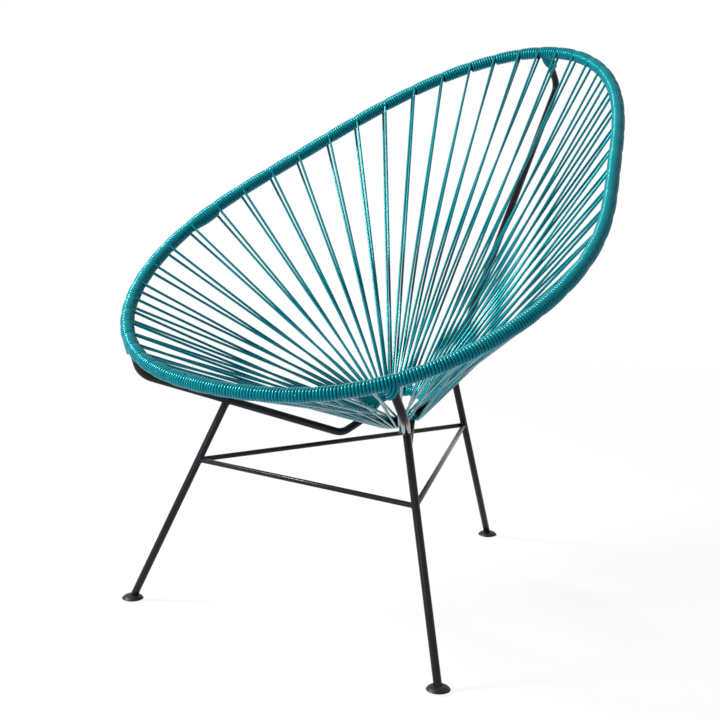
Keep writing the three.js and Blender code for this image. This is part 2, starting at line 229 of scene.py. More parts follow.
@dataclass(frozen=True)
class Maker:
    """Makes pieces, each shifted from the drawing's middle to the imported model's."""

    shift: Array
    merge: float = 0.001

    def place(self, point: Array) -> Vector:
        """A drawing point in metres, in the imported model's frame."""
        return Vector((point + self.shift) * MM)

    def clear(self) -> None:
        """Leaves object mode's selection empty."""
        if bpy.context.object and bpy.context.object.mode != "OBJECT":
            bpy.ops.object.mode_set(mode="OBJECT")
        bpy.ops.object.select_all(action="DESELECT")

    def edit(self) -> None:
        """Opens the active object in edit mode, all of it selected."""
        bpy.ops.object.mode_set(mode="EDIT")
        bpy.ops.mesh.select_all(action="SELECT")

    def chosen(self, piece: Object) -> None:
        """Makes a piece the active object and the only one selected."""
        self.clear()
        piece.select_set(True)
        bpy.context.view_layer.objects.active = piece

    def from_arrays(self, name: str, points: Array, faces: Sequence[Sequence[int]] = (),
                    edges: Sequence[Sequence[int]] = ()) -> Object:
        """A piece from points, with faces or loose edges.

        Args:
            name: the piece's name.
            points: drawing points in millimetres, one a row.
            faces: their corners' indices, anticlockwise from outside.
            edges: pairs of indices.

        Returns:
            The linked object.
        """
        mesh = bpy.data.meshes.new(name)
        mesh.from_pydata(((points + self.shift) * MM).tolist(), edges, faces)
        mesh.shade_smooth()
        return linked(name, mesh)

    def finished(self, piece: Object, angle: float = 40) -> Object:
        """Gives a modelled piece its place in its mesh, outward faces and smooth shading.

        Args:
            piece: the object, in object or edit mode.
            angle: edges sharper than this many degrees stay crisp.

        Returns:
            The same object.
        """
        self.chosen(piece)
        bpy.ops.object.transform_apply(location=True, rotation=True, scale=True)
        self.edit()
        bpy.ops.mesh.remove_doubles(threshold=self.merge * MM)
        bpy.ops.mesh.normals_make_consistent(inside=False)
        bpy.ops.object.mode_set(mode="OBJECT")
        bpy.ops.object.shade_smooth_by_angle(angle=math.radians(angle))
        self.clear()
        return piece

    def dress(self, piece: Object, finish: Material, replaces: Sequence[str] = ()) -> None:
        """Gives a piece its finish, rides it on the chair and hides the CAD nodes that it stands for.

        Args:
            piece: the finished object.
            finish: its material.
            replaces: CAD nodes that it stands for.
        """
        piece.data.materials.clear()
        piece.data.materials.append(finish)
        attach(piece, "root")
        if replaces:
            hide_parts(*replaces)
        log.info("%s: %d faces", piece.name, len(piece.data.polygons))


def tube(points: Array, radii: Union[Array, float], sides: int,
         first: int = 0) -> tuple[Array, list[list[int]]]:
    """A round tube along points, with flat ends.

    Args:
        points: the centreline, one point a row.
        radii: the radius at each point, or everywhere.
        sides: faces round the section.
        first: the index of its first vertex.

    Returns:
        The vertices and the outward faces.
    """
    ahead = np.diff(points, axis=0)
    ahead /= np.linalg.norm(ahead, axis=1)[:, None]
    tangents = np.vstack([ahead[:1], ahead[1:] + ahead[:-1], ahead[-1:]])
    tangents /= np.linalg.norm(tangents, axis=1)[:, None]
    seed = vec(0, 0, 1) if abs(tangents[0][2]) < 0.9 else vec(1, 0, 0)
    normal = unit(np.cross(tangents[0], seed))
    angles = np.arange(sides) * TURN / sides
    cos, sin = np.cos(angles)[:, None], np.sin(angles)[:, None]
    rows = []
    for point, tangent, radius in zip(points, tangents, np.broadcast_to(radii, len(points))):
        normal = normal - tangent * np.dot(normal, tangent)
        normal /= np.linalg.norm(normal)
        rows.append(point + radius * (cos * normal + sin * np.cross(tangent, normal)))
    here = first + np.arange(len(points) * sides).reshape(-1, sides)
    after = np.roll(here, -1, axis=1)
    faces = np.stack([here[:-1], after[:-1], after[1:], here[1:]], axis=-1).reshape(-1, 4).tolist()
    return np.vstack(rows), faces + [here[0, ::-1].tolist(), here[-1].tolist()]


# The cord.


@dataclass(frozen=True)
class Pair:
    """A pair of strings: where it leaves the hoop, where it passes the ring, and its sector."""

    round: float
    angle: float
    side: Side
    number: int


@dataclass(frozen=True)
class StringEnd:
    """One string of a pair: its round and phase on the hoop, and how it meets the hoop and the ring."""

    round: float
    phase: float
    angle: float
    start: Array
    finish: Array
    ring_spoke: Array


@dataclass(frozen=True)
class BarRoot:
    """Where a bar leaves the hoop. The turns over it part there, and fan down the bar's further flank."""

    node: str
    round: float
    point: Array
    run: Array
    fan_turns: int
    phase: float


def eased(share: float) -> float:
    """A share held between 0 and 1 that starts and ends gently."""
    share = min(max(share, 0.0), 1.0)
    return share * share * (3 - 2 * share)


@dataclass
class CordWeb:
    """The cord, wound round the hoop and strung round the ring, in one piece for each sector."""

    sizes: ChairSizes
    roots: Sequence[BarRoot]
    turns_left: tuple[int, ...] = (5, 9, 10, 11, 11, 12, 14, 14, 14, 14, 13, 13, 13, 14,
                                   14, 12, 12, 10, 8, 8, 8, 8, 8, 8, 9, 8, 9, 4)
    turns_right: tuple[int, ...] = (3, 8, 10, 10, 12, 13, 14, 14, 14, 15, 13, 14, 13, 14,
                                    14, 12, 12, 10, 8, 8, 8, 8, 8, 8, 9, 8, 9, 4)
    sectors: tuple[int, ...] = (4, 4, 5, 5, 3, 3, 3)
    upper_turns: float = 0.25
    lower_turns: float = -0.25
    ring_step: float = 4.3
    crown: float = 1.0
    root_ease: float = 4
    fan_open: float = 122
    fan_shut: float = 10
    steps_a_turn: int = 20
    loop_steps: int = 12
    string_steps: int = 8
    gap_steps: int = 100
    bow_reach: float = 0.16
    tuck_number: int = 12
    tuck_height: float = 3.8
    tuck_phase: float = 140
    tuck_rise: float = 0.03
    tuck_end: float = 0.95
    tuck_taper: float = 0.6
    tuck_power: float = 1.5
    tail_angle: float = 146
    tail_length: float = 11
    tail_lean: float = 0.5
    tail_root: Couple = (0.3, 2)
    tail_bend: Couple = (0.5, 0.6)
    closing_turns: int = 4
    closing_out: float = 95
    closing_in: float = 112
    closing_steps: int = 12
    sides: int = 8

    def __post_init__(self) -> None:
        """Sets out the pairs round the hoop and the ring."""
        sizes, hoop = self.sizes, self.sizes.hoop
        self.turn_pitch = hoop.round / 2 / sum(self.turns_left)
        self.winding_radius = sizes.hoop_tube / 2 + sizes.clearance + sizes.wound_cord / 2
        self.bar_radius = sizes.bar / 2 + sizes.wound_cord / 2 + sizes.clearance / 3
        self.loop_radius = sizes.ring_tube / 2 + sizes.clearance + sizes.strung_cord / 2
        self.count = len(self.turns_left) - 1
        reach = (sizes.bar / 2 + sizes.clearance + sizes.strung_cord / 2) / sizes.ring.radius
        self.end_window = math.asin(reach) + self.ring_step / 2 / sizes.ring.radius
        self.side_bar = math.radians(sizes.side_bar_ring)
        rear_room, whole_room = self.side_bar - 2 * self.end_window, math.pi - 3 * self.end_window
        self.rear = round(self.count * rear_room / whole_room)
        left = np.cumsum(self.turns_left[:-1]) * self.turn_pitch
        right = hoop.round - np.cumsum(self.turns_right[:-1]) * self.turn_pitch
        pairs = [Pair(float(r), self.ring_angle(i), Side.LEFT, i) for i, r in enumerate(left)]
        pairs += [Pair(float(r), -self.ring_angle(i), Side.RIGHT, i) for i, r in enumerate(right)]
        self.pairs = sorted(pairs, key=lambda pair: -pair.round)
        self.uppers = [self.string_end(pair, True) for pair in self.pairs]
        self.lowers = [self.string_end(pair, False) for pair in self.pairs]

    def ring_angle(self, i: int) -> float:
        """The angle of a pair round the ring, from the middle of the back."""
        if i < self.rear:
            return self.end_window + (self.side_bar - 2 * self.end_window) * i / (self.rear - 1)
        start = self.side_bar + self.end_window
        return start + (math.pi - start) * (i - self.rear) / (self.count - self.rear - 0.5)

    def string_end(self, pair: Pair, upper: bool) -> StringEnd:
        """Where one string of a pair leaves the hoop and meets the ring.

        Args:
            pair: the pair.
            upper: whether the string leaves from the winding's top.

        Returns:
            The string's end.
        """
        sizes, way = self.sizes, 1 if upper else -1
        around = pair.round + (self.upper_turns if upper else self.lower_turns) * self.turn_pitch
        angle = pair.angle + way * self.ring_step / 2 / sizes.ring.radius
        on_hoop, on_ring = sizes.hoop.place(around), sizes.ring.place(angle)
        run = unit(on_ring.point - on_hoop.point)
        off_hoop = unit(np.cross(on_hoop.tangent, run))
        off_ring = unit(np.cross(on_ring.tangent, run))
        off_hoop *= np.sign(np.dot(off_hoop, on_hoop.up)) * way
        off_ring *= np.sign(np.dot(off_ring, on_ring.up)) * -way
        phase = math.atan2(np.dot(off_hoop, on_hoop.inward), np.dot(off_hoop, on_hoop.up)) % TURN
        return StringEnd(around, phase, angle, on_hoop.point + off_hoop * self.winding_radius,
                         on_ring.point + off_ring * self.loop_radius, off_ring)

    def wound(self, index: int) -> Array:
        """The cord's middle over the winding from one pair to the next, at an even pitch.

        Args:
            index: the number of the pair before it, in the cord's way round.

        Returns:
            The points, one a row.
        """
        start, end = self.lowers[index], self.uppers[(index + 1) % len(self.pairs)]
        r0, r1 = start.round, end.round
        if r1 > r0:
            r1 -= self.sizes.hoop.round
        turns = round((r0 - r1) / self.turn_pitch + self.upper_turns - self.lower_turns)
        a0, a1 = start.phase, end.phase + turns * TURN
        slope = (r0 - r1) / (a1 - a0)
        fans = [(root, *self.fan(root, start, slope)) for root in self.roots]
        points = []
        for phase in np.linspace(a0, a1, round((a1 - a0) / TURN * self.steps_a_turn) + 1):
            share = (phase - a0) / (a1 - a0)
            radius = self.winding_radius + self.crown * (1 - (2 * share - 1) ** 4)
            if self.pairs[index].side is Side.RIGHT and self.pairs[index].number == self.tuck_number:
                radius += self.tucked(share, phase)
            points.append(self.laid(r0 - slope * (phase - a0), phase, radius, fans))
        return np.array(points)

    def tucked(self, share: float, phase: float) -> float:
        """How far a cord's end, laid along the hoop under the winding, lifts the turns over it.

        Args:
            share: how far the winding is from its first string to its next.
            phase: the angle round the hoop's tube.

        Returns:
            The lift in millimetres.
        """
        over = max(0.0, math.cos(phase - math.radians(self.tuck_phase)))
        ends = eased(share / self.tuck_rise) * eased((self.tuck_end - share) / self.tuck_taper)
        return self.tuck_height * over ** self.tuck_power * ends

    def fan(self, root: BarRoot, start: StringEnd, slope: float) -> Couple:
        """The room of the turns that fan down a bar.

        Args:
            root: the bar's root.
            start: the string's end that a winding starts from.
            slope: how far round the hoop it goes in a radian.

        Returns:
            How far past the bar the last turn before the fan and the first turn after it lie.
        """
        pitch = slope * TURN
        first = self.past(root, start.round - slope * ((root.phase - start.phase) % TURN))
        before = first - pitch * math.ceil((first + self.bar_radius) / pitch)
        return before, before + (root.fan_turns + 1) * pitch

    def past(self, root: BarRoot, around: float) -> float:
        """How far past a bar's root a round lies, the short way."""
        whole = self.sizes.hoop.round
        return (around - root.round + whole / 2) % whole - whole / 2

    def laid(self, around: float, phase: float, radius: float,
             fans: Sequence[tuple[BarRoot, float, float]]) -> Array:
        """The cord's middle at a place of the winding, fanned and pushed clear of the bars.

        Args:
            around: the round.
            phase: the angle round the hoop's tube, from its top inwards.
            radius: the distance from the tube's middle.
            fans: the bars' roots, each with the edges of its fan.

        Returns:
            The point.
        """
        drop = np.zeros(3)
        near = None
        for root, before, after in fans:
            t = self.past(root, around)
            if abs(t) > 2 * after:
                continue
            near = root
            away = (phase - root.phase + math.pi) % TURN - math.pi
            turn = t + self.turn_pitch * away / TURN
            if not before + self.turn_pitch / 2 < turn < after - self.turn_pitch / 2:
                continue
            opening, shut = math.radians(self.fan_open), math.radians(self.fan_shut)
            swing = math.pi / 2 * eased((opening - abs(away)) / (opening - shut))
            moved = after - (after - t) * math.cos(swing) - (after - self.bar_radius) * math.sin(swing)
            drop = root.run * (after - t) * math.sin(swing)
            around += moved - t
        place = self.sizes.hoop.place(around)
        point = place.point + radius * (place.up * math.cos(phase) + place.inward * math.sin(phase)) + drop
        return point if near is None else self.clear_of(near, point)

    def clear_of(self, root: BarRoot, point: Array) -> Array:
        """A point pushed out of a bar, as far as the cord's middle has to be from the bar's."""
        depth = float(np.dot(point - root.point, root.run))
        out = point - root.point - depth * root.run
        distance = float(np.linalg.norm(out))
        needed = self.winding_radius + (self.bar_radius - self.winding_radius) * eased(depth / self.root_ease)
        if depth <= 0 or distance >= needed:
            return point
        return root.point + depth * root.run + out * needed / distance

    def strung(self, index: int) -> Array:
        """The cord's middle over a pair of strings, from the hoop round the ring and back.

        Args:
            index: the pair's number in the cord's way round.

        Returns:
            The points, one a row.
        """
        upper, lower = self.uppers[index], self.lowers[index]
        over, under = upper.finish - upper.start, lower.finish - lower.start
        shares = np.linspace(0, 1, self.gap_steps + 1)[:, None]
        gap = upper.start + over * shares - lower.start - under * shares
        apart = np.linalg.norm(gap, axis=1)
        tightest = int(np.argmin(apart))
        lack = max(0.0, self.sizes.strung_cord + self.sizes.clearance / 3 - apart[tightest]) / 2
        away = unit(gap[tightest]) * lack
        steps = np.linspace(0, 1, self.string_steps + 1)[:, None]
        bow = np.exp(-((steps - tightest / self.gap_steps) / self.bow_reach) ** 2) * (steps > 0) * (steps < 1)
        out = upper.start + over * steps + away * bow
        back = (lower.start + under * steps - away * bow)[::-1]
        ring = self.sizes.ring
        axis = ring.place((upper.angle + lower.angle) / 2).tangent
        if np.dot(np.cross(axis, upper.ring_spoke), -ring.outward(upper.angle)) < 0:
            axis = -axis
        side = np.cross(axis, upper.ring_spoke)
        sweep = math.atan2(np.dot(lower.ring_spoke, side), np.dot(lower.ring_spoke, upper.ring_spoke))
        sweep %= TURN
        loop = [ring.place(upper.angle + (lower.angle - upper.angle) * s).point
                + unit(turned(upper.ring_spoke, axis, sweep * s)) * self.loop_radius
                for s in np.linspace(0, 1, self.loop_steps + 1)[1:-1]]
        return np.vstack([out, loop, back])

    def build(self, maker: Maker, finish: Material) -> None:
        """Makes every sector's cord.

        Args:
            maker: makes the pieces.
            finish: the cord's material.
        """
        windings = [self.wound(i) for i in range(len(self.pairs))]
        wound, strung = self.sizes.wound_cord / 2, self.sizes.strung_cord / 2
        for side in Side:
            for number in range(len(self.sectors)):
                members = self.members(side, number)
                points, radii = [], []
                for i in members:
                    before, strings, after = windings[i - 1], self.strung(i)[1:-1], windings[i]
                    before = before[len(before) // 2 + (1 if points else 0):]
                    after = after[:len(after) // 2 + 1]
                    for run, radius in ((before, wound), (strings, strung), (after, wound)):
                        points.append(run)
                        radii.append([radius] * len(run))
                piece = maker.from_arrays(f"cord_{side.word}_{number + 1}",
                                          *tube(np.vstack(points), np.concatenate(radii), self.sides))
                nodes = [f"cord_web_{side.word}_{number + 1}", *self.wraps(members)]
                maker.dress(piece, finish, nodes)
        for name, middle in (("back", 0), ("left", self.side_bar), ("right", -self.side_bar)):
            maker.dress(self.closing(maker, name, middle), finish)
        maker.dress(self.tail(maker), finish)

    def members(self, side: Side, number: int) -> list[int]:
        """The pairs of a sector, by their number in the cord's way round."""
        first = sum(self.sectors[:number])
        return [i for i, pair in enumerate(self.pairs)
                if pair.side is side and first <= pair.number < first + self.sectors[number]]

    def wraps(self, members: Sequence[int]) -> list[str]:
        """The nodes of the bar wraps that a sector's cord holds, given the sector's pairs."""
        gaps = {root.node: [abs(self.past(root, pair.round)) for pair in self.pairs] for root in self.roots}
        return [node for node, apart in gaps.items() if apart.index(min(apart)) in members]

    def tail(self, maker: Maker) -> Object:
        """Makes the cord's cut end that hangs a little under the ring."""
        ring = self.sizes.ring
        place = ring.place(math.radians(self.tail_angle))
        out = ring.outward(math.radians(self.tail_angle))
        start = place.point + unit(out * self.tail_lean - ring.up) * self.loop_radius
        drop = vec(0, 0, -self.tail_length)
        (above, within), (below, beyond) = self.tail_root, self.tail_bend
        path = [start - drop * above - out * within, start, start + drop * below + out * beyond, start + drop]
        return maker.from_arrays("cord_tail", *tube(np.array(path), self.sizes.strung_cord / 2, self.sides))

    def closing(self, maker: Maker, name: str, middle: float) -> Object:
        """Makes the turns that close the ring's top over the end of a bar, slanted as the passes are.

        Args:
            maker: makes the piece.
            name: the bar's place.
            middle: the angle of the bar's end round the ring.

        Returns:
            The piece.
        """
        ring = self.sizes.ring
        vertices, faces, count = [], [], 0
        for number in range(self.closing_turns):
            path = []
            for swing in np.linspace(-self.closing_out, self.closing_in, self.closing_steps + 1):
                steps = number + 1 - self.closing_turns / 2 - abs(swing) / 180
                place = ring.place(middle + steps * self.ring_step / ring.radius)
                spoke = turned(place.up, place.tangent, math.radians(swing))
                path.append(place.point + self.loop_radius * spoke)
            rows, sides = tube(np.array(path), self.sizes.strung_cord / 2, self.sides, count)
            vertices.append(rows)
            faces += sides
            count += len(rows)
        return maker.from_arrays(f"ring_turns_{name}", np.vstack(vertices), faces)


# The steel frame.


@dataclass
class BentBar:
    """A round bar, straight through its corners, each rounded to its bend radius."""

    name: str
    corners: Sequence[Array]
    radii: Sequence[float]
    diameter: float
    sides: int = 24
    bend_steps: int = 12

    def build(self, maker: Maker) -> Object:
        """Extrudes the bar's end along each straight and spins it through each bend."""
        maker.clear()
        bpy.ops.mesh.primitive_circle_add(
            vertices=self.sides, radius=self.diameter / 2 * MM, fill_type="NOTHING",
            location=maker.place(self.corners[0]), rotation=leaned(unit(self.corners[1] - self.corners[0])))
        bar = bpy.context.object
        bar.name = bar.data.name = self.name
        maker.edit()
        at = self.corners[0]
        for i, radius in enumerate(self.radii):
            before, corner, after = self.corners[i:i + 3]
            incoming, outgoing = unit(corner - before), unit(after - corner)
            angle = math.acos(float(np.clip(np.dot(incoming, outgoing), -1, 1)))
            axis = unit(np.cross(incoming, outgoing))
            start = corner - incoming * radius * math.tan(angle / 2)
            centre = start + np.cross(axis, incoming) * radius
            self.straight(start - at)
            bpy.ops.mesh.spin(steps=self.bend_steps, angle=angle, center=maker.place(centre), axis=-axis)
            at = corner + outgoing * radius * math.tan(angle / 2)
        self.straight(self.corners[-1] - at)
        bpy.ops.mesh.select_all(action="SELECT")
        bpy.ops.mesh.fill_holes(sides=0)
        return maker.finished(bar)

    def straight(self, run: Array) -> None:
        """Extrudes the selected end by a run in millimetres."""
        bpy.ops.mesh.extrude_region_move(TRANSFORM_OT_translate={"value": Vector(run * MM)})


@dataclass
class Rod:
    """A straight round rod between two points, with small chamfers at its ends."""

    name: str
    start: Array
    end: Array
    diameter: float
    sides: int = 24
    chamfer: float = 0.5
    chamfer_steps: int = 2

    def build(self, maker: Maker) -> Object:
        """Adds the rod at its place and bevels its ends."""
        maker.clear()
        run = self.end - self.start
        bpy.ops.mesh.primitive_cylinder_add(
            vertices=self.sides, radius=self.diameter / 2 * MM, depth=float(np.linalg.norm(run)) * MM,
            location=maker.place((self.start + self.end) / 2), rotation=leaned(run))
        rod = bpy.context.object
        rod.name = rod.data.name = self.name
        bpy.ops.object.mode_set(mode="EDIT")
        bpy.ops.mesh.select_mode(type="FACE")
        bpy.ops.mesh.select_all(action="DESELECT")
        ends = bmesh.from_edit_mesh(rod.data)
        for face in ends.faces:
            face.select = len(face.verts) > 4
        bmesh.update_edit_mesh(rod.data)
        bpy.ops.mesh.bevel(offset=self.chamfer * MM, segments=self.chamfer_steps)
        return maker.finished(rod)


@dataclass
class Weld:
    """A bead of weld where a rod meets the side of a tube or another rod."""

    name: str
    joint: Array
    run: Array
    radius: float
    host_run: Array
    host_radius: float
    bead: float = 1.3
    sides: int = 32
    bead_sides: int = 8

    def build(self, maker: Maker) -> Object:
        """Lays a ring round the rod and drops each of its places onto the host's side."""
        maker.clear()
        bpy.ops.mesh.primitive_torus_add(
            major_segments=self.sides, minor_segments=self.bead_sides, major_radius=self.radius * MM,
            minor_radius=self.bead * MM, location=maker.place(self.joint), rotation=leaned(self.run))
        ring = bpy.context.object
        ring.name = ring.data.name = self.name
        maker.finished(ring, angle=80)
        joint, run = maker.place(self.joint), Vector(self.run)
        for vertex in ring.data.vertices:
            out = vertex.co - joint
            out = (out - run * out.dot(run)).normalized() * self.radius * MM
            vertex.co += run * self.reach(np.array(out) / MM) * MM
        return ring

    def reach(self, out: Array) -> float:
        """How far along the rod a line on its surface, so far out from its middle, leaves the host."""
        across = out - self.host_run * np.dot(out, self.host_run)
        ahead = self.run - self.host_run * np.dot(self.run, self.host_run)
        a, b, c = np.dot(ahead, ahead), np.dot(across, ahead), np.dot(across, across) - self.host_radius ** 2
        return float((-b + math.sqrt(max(0.0, b * b - a * c))) / a)


@dataclass
class SteelFrame:
    """The bent bars, the legs on them, the braces between the legs and the glides under them."""

    sizes: ChairSizes
    side_root_share: float = 0.8245
    side_elbow: Triple = (7.2, 27.5, -54)
    side_heel: Triple = (64, -66, -42)
    side_radii: Couple = (40, 28)
    spine_shoulder: Couple = (49.7, -58.3)
    spine_heel: Couple = (128, -10)
    spine_radii: Couple = (20, 28)
    leg: float = 12
    front_foot: Couple = (284, 358)
    front_leg_run: float = 0.413
    rear_foot_back: float = 290
    rear_leg_run: float = 0.102
    brace: float = 8
    brace_height: float = 232
    glide: float = 34
    glide_base: float = 18
    glide_edge: float = 3.2
    glide_thickness: float = 1
    glide_neck: float = 17
    glide_height: float = 9
    glide_inset: float = 0.4
    glide_rise: float = 0.2
    glide_brow: float = 0.3
    glide_dome: float = 0.1
    glide_dome_steps: int = 8
    glide_sides: int = 48
    neck_inset: float = 0.5
    socket_floor: float = 3.6
    brace_bead: float = 1
    fan_turns_back: int = 5
    fan_turns_side: int = 3

    def side_corners(self, side: Side) -> list[Array]:
        """The corners of a side bar: its root, its elbow below that, its heel beside the ring, its end."""
        hoop, ring, s = self.sizes.hoop, self.sizes.ring, side.value
        share = self.side_root_share / 2
        root = hoop.point((share if s > 0 else 1 - share) * hoop.round)
        elbow, heel = (vec(s * out, back, up) for out, back, up in (self.side_elbow, self.side_heel))
        return [root, root + elbow, ring.centre + heel,
                self.sizes.bar_end(s * math.radians(self.sizes.side_bar_ring))]

    def spine_corners(self) -> list[Array]:
        """The corners of the spine bar: its root, its shoulder, its heel behind the ring, its end."""
        root = self.sizes.hoop.point(0)
        return [root, root + vec(0, *self.spine_shoulder), self.sizes.ring.centre + vec(0, *self.spine_heel),
                self.sizes.bar_end(0)]

    def leg_line(self, which: Optional[Side]) -> tuple[Array, Array]:
        """A leg's line, from the floor of its glide's socket to its bar.

        Args:
            which: the side of a front leg, or None for the rear leg.

        Returns:
            The bottom and the top.
        """
        if which is None:
            foot, corners, share = vec(0, self.rear_foot_back, 0), self.spine_corners(), 1 - self.rear_leg_run
        else:
            foot = vec(which.value * self.front_foot[0], -self.front_foot[1], 0)
            corners, share = self.side_corners(which), self.front_leg_run
        return foot + vec(0, 0, self.socket_floor), corners[1] + (corners[2] - corners[1]) * share

    def at_brace(self, which: Optional[Side]) -> Array:
        """The point of a leg's line at the height of the braces."""
        low, high = self.leg_line(which)
        return low + (high - low) * (self.brace_height - low[2]) / (high[2] - low[2])

    def build(self, maker: Maker, steel: Material, glide: Material) -> None:
        """Makes the bars, legs, braces, glides and weld beads, and dresses them.

        Args:
            maker: makes the pieces.
            steel: the finish of the bars and rods.
            glide: the finish of the glides.
        """
        bar, rear = self.sizes.bar, self.at_brace(None)
        made: dict[str, Union[BentBar, Rod]] = {
            "spine_bar": BentBar("spine", self.spine_corners(), self.spine_radii, bar)}
        sides = {side.word: side for side in Side}
        for word, side in sides.items():
            made[f"side_bar_{word}"] = BentBar(f"bar_{word}", self.side_corners(side), self.side_radii, bar)
        for word, side in sides.items():
            made[f"front_leg_{word}"] = Rod(f"leg_{word}", *self.leg_line(side), self.leg)
            made[f"side_brace_{word}"] = Rod(f"brace_{word}", self.at_brace(side), rear, self.brace)
        made["rear_leg"] = Rod("leg_rear", *self.leg_line(None), self.leg)
        made["front_brace"] = Rod("brace_front", *map(self.at_brace, Side), self.brace)
        for node, piece in made.items():
            maker.dress(piece.build(maker), steel, [node])
        for which, word in ((Side.LEFT, "front_{}_left"), (Side.RIGHT, "front_{}_right"), (None, "rear_{}")):
            piece = self.glide_piece(maker, which, word.format("foot"))
            maker.dress(piece, glide, [word.format("glide")])
        for weld in self.welds():
            maker.dress(weld.build(maker), steel)

    def welds(self) -> list[Weld]:
        """The beads at the leg tops and at the brace ends."""
        welds = []
        legs = {"left": Side.LEFT, "right": Side.RIGHT, "rear": None}
        for word, which in legs.items():
            low, high = self.leg_line(which)
            corners = self.spine_corners() if which is None else self.side_corners(which)
            welds.append(Weld(f"weld_leg_{word}", high, unit(low - high), self.leg / 2,
                              unit(corners[2] - corners[1]), self.sizes.bar / 2))
        for names in (("left", "rear"), ("right", "rear"), ("left", "right")):
            for here, there in (names, names[::-1]):
                low, high = self.leg_line(legs[here])
                joint = self.at_brace(legs[here])
                run = unit(self.at_brace(legs[there]) - joint)
                welds.append(Weld(f"weld_brace_{here}_{there}", joint, run, self.brace / 2,
                                  unit(high - low), self.leg / 2, self.brace_bead))
        return welds

    def roots(self) -> list[BarRoot]:
        """Where the three bars leave the hoop."""
        roots = []
        whole, share = self.sizes.hoop.round, self.side_root_share / 2
        for node, at, corners, turns in (
                ("root_wrap_back", 0.0, self.spine_corners(), self.fan_turns_back),
                ("root_wrap_left", share * whole, self.side_corners(Side.LEFT), self.fan_turns_side),
                ("root_wrap_right", (1 - share) * whole, self.side_corners(Side.RIGHT), self.fan_turns_side)):
            place, run = self.sizes.hoop.place(at), unit(corners[1] - corners[0])
            phase = math.atan2(np.dot(run, place.inward), np.dot(run, place.up)) % TURN
            roots.append(BarRoot(node, at, corners[0], run, turns, phase))
        return roots

    def glide_piece(self, maker: Maker, which: Optional[Side], name: str) -> Object:
        """Turns a glide: a lens-shaped disc with a flat under it, domed up to a neck for the leg.

        Args:
            maker: makes the pieces.
            which: the side of a front glide, or None for the rear one.
            name: the piece's name.

        Returns:
            The finished piece.
        """
        base, edge, neck = self.glide_base / 2, self.glide / 2, self.glide_neck / 2
        inset, rise, low, top = self.glide_inset, self.glide_rise, self.glide_edge, self.glide_height
        shoulder = low + self.glide_thickness
        profile = [(0, 0), (base - inset, 0), (base, rise / 2), (edge - inset, low - rise / 2),
                   (edge, low + rise), (edge, shoulder - rise), (edge - self.glide_brow, shoulder)]
        for share in np.linspace(self.glide_dome, 1, self.glide_dome_steps):
            rounded = 1 - (1 - share) ** 2
            profile.append((edge + (neck - edge) * share, shoulder + (top - shoulder) * rounded))
        profile += [(neck - self.neck_inset, top + rise), (self.leg / 2, top + rise), (0, top)]
        foot = self.leg_line(which)[0] * vec(1, 1, 0)
        points = np.array([foot + vec(r, 0, z) for r, z in profile])
        disc = maker.from_arrays(name, points, edges=[(i, i + 1) for i in range(len(profile) - 1)])
        maker.chosen(disc)
        maker.edit()
        bpy.ops.mesh.spin(steps=self.glide_sides, angle=TURN, center=maker.place(foot), axis=(0, 0, 1))
        return maker.finished(disc, angle=50)


# Finishes.


class Paint:
    """The node tree of a material or the world, with one method that adds any node."""

    def __init__(self, owner: Union[Material, World]) -> None:
        """Empties the owner's node tree."""
        self.owner = owner
        owner.use_nodes = True
        self.tree = owner.node_tree
        self.tree.nodes.clear()

    def node(self, kind: str, inputs: dict, **settings: object) -> Node:
        """Adds a node.

        Args:
            kind: the node's type, without the words that all these types start with.
            inputs: values or channels, by the name or number of the input.
            settings: its properties.

        Returns:
            The node.
        """
        node = self.tree.nodes.new("ShaderNode" + kind)
        for key, value in settings.items():
            setattr(node, key, value)
        for key, value in inputs.items():
            if isinstance(value, Channel):
                self.tree.links.new(value.socket, node.inputs[key])
            else:
                node.inputs[key].default_value = value
        return node

    def channel(self, kind: str, output: Union[str, int], inputs: dict, **settings: object) -> "Channel":
        """Adds a node and hands back one of its outputs, by name or number."""
        return Channel(self, self.node(kind, inputs, **settings).outputs[output])

    def mixed(self, share: "Channel", first: Colour, second: Colour) -> "Channel":
        """Two colours mixed by a channel from 0 to 1."""
        return self.channel("Mix", 2, {0: share, 6: first, 7: second}, data_type="RGBA", clamp_factor=True)

    def where(self) -> "Channel":
        """The place on the piece, in its own metres."""
        return self.channel("TexCoord", "Object", {})

    def noise(self, scale: float, detail: float) -> "Channel":
        """Noise over the piece, with about so many waves a metre."""
        inputs = {"Vector": self.where(), "Scale": scale, "Detail": detail}
        return self.channel("TexNoise", "Fac", inputs, noise_dimensions="3D")

    def surface(self, shader: "Channel", kind: str = "OutputMaterial") -> None:
        """Ends the tree in a shader."""
        self.node(kind, {"Surface": shader})


@dataclass(frozen=True)
class Coat:
    """A coat's range of gloss, the scale of its patches and grain, and the grain's strength and metres."""

    gloss: Couple
    patches: float
    grain: float
    strength: float
    height: float
    shine: float
    patch_detail: float = 3
    grain_detail: float = 2

    def over(self, paint: Paint, colour: "Channel", inputs: dict) -> Material:
        """Ends a material's tree in the coat.

        Args:
            paint: the material's tree.
            colour: the coat's colour.
            inputs: further inputs of the shader.

        Returns:
            The material.
        """
        low, high = self.gloss
        rough = paint.noise(self.patches, self.patch_detail) * (high - low) + low
        bump = paint.channel("Bump", 0, {"Strength": self.strength, "Distance": self.height,
                                         "Height": paint.noise(self.grain, self.grain_detail)})
        inputs = {"Base Color": colour, "Roughness": rough, "Normal": bump,
                  "Specular IOR Level": self.shine, **inputs}
        paint.surface(paint.channel("BsdfPrincipled", 0, inputs))
        return paint.owner


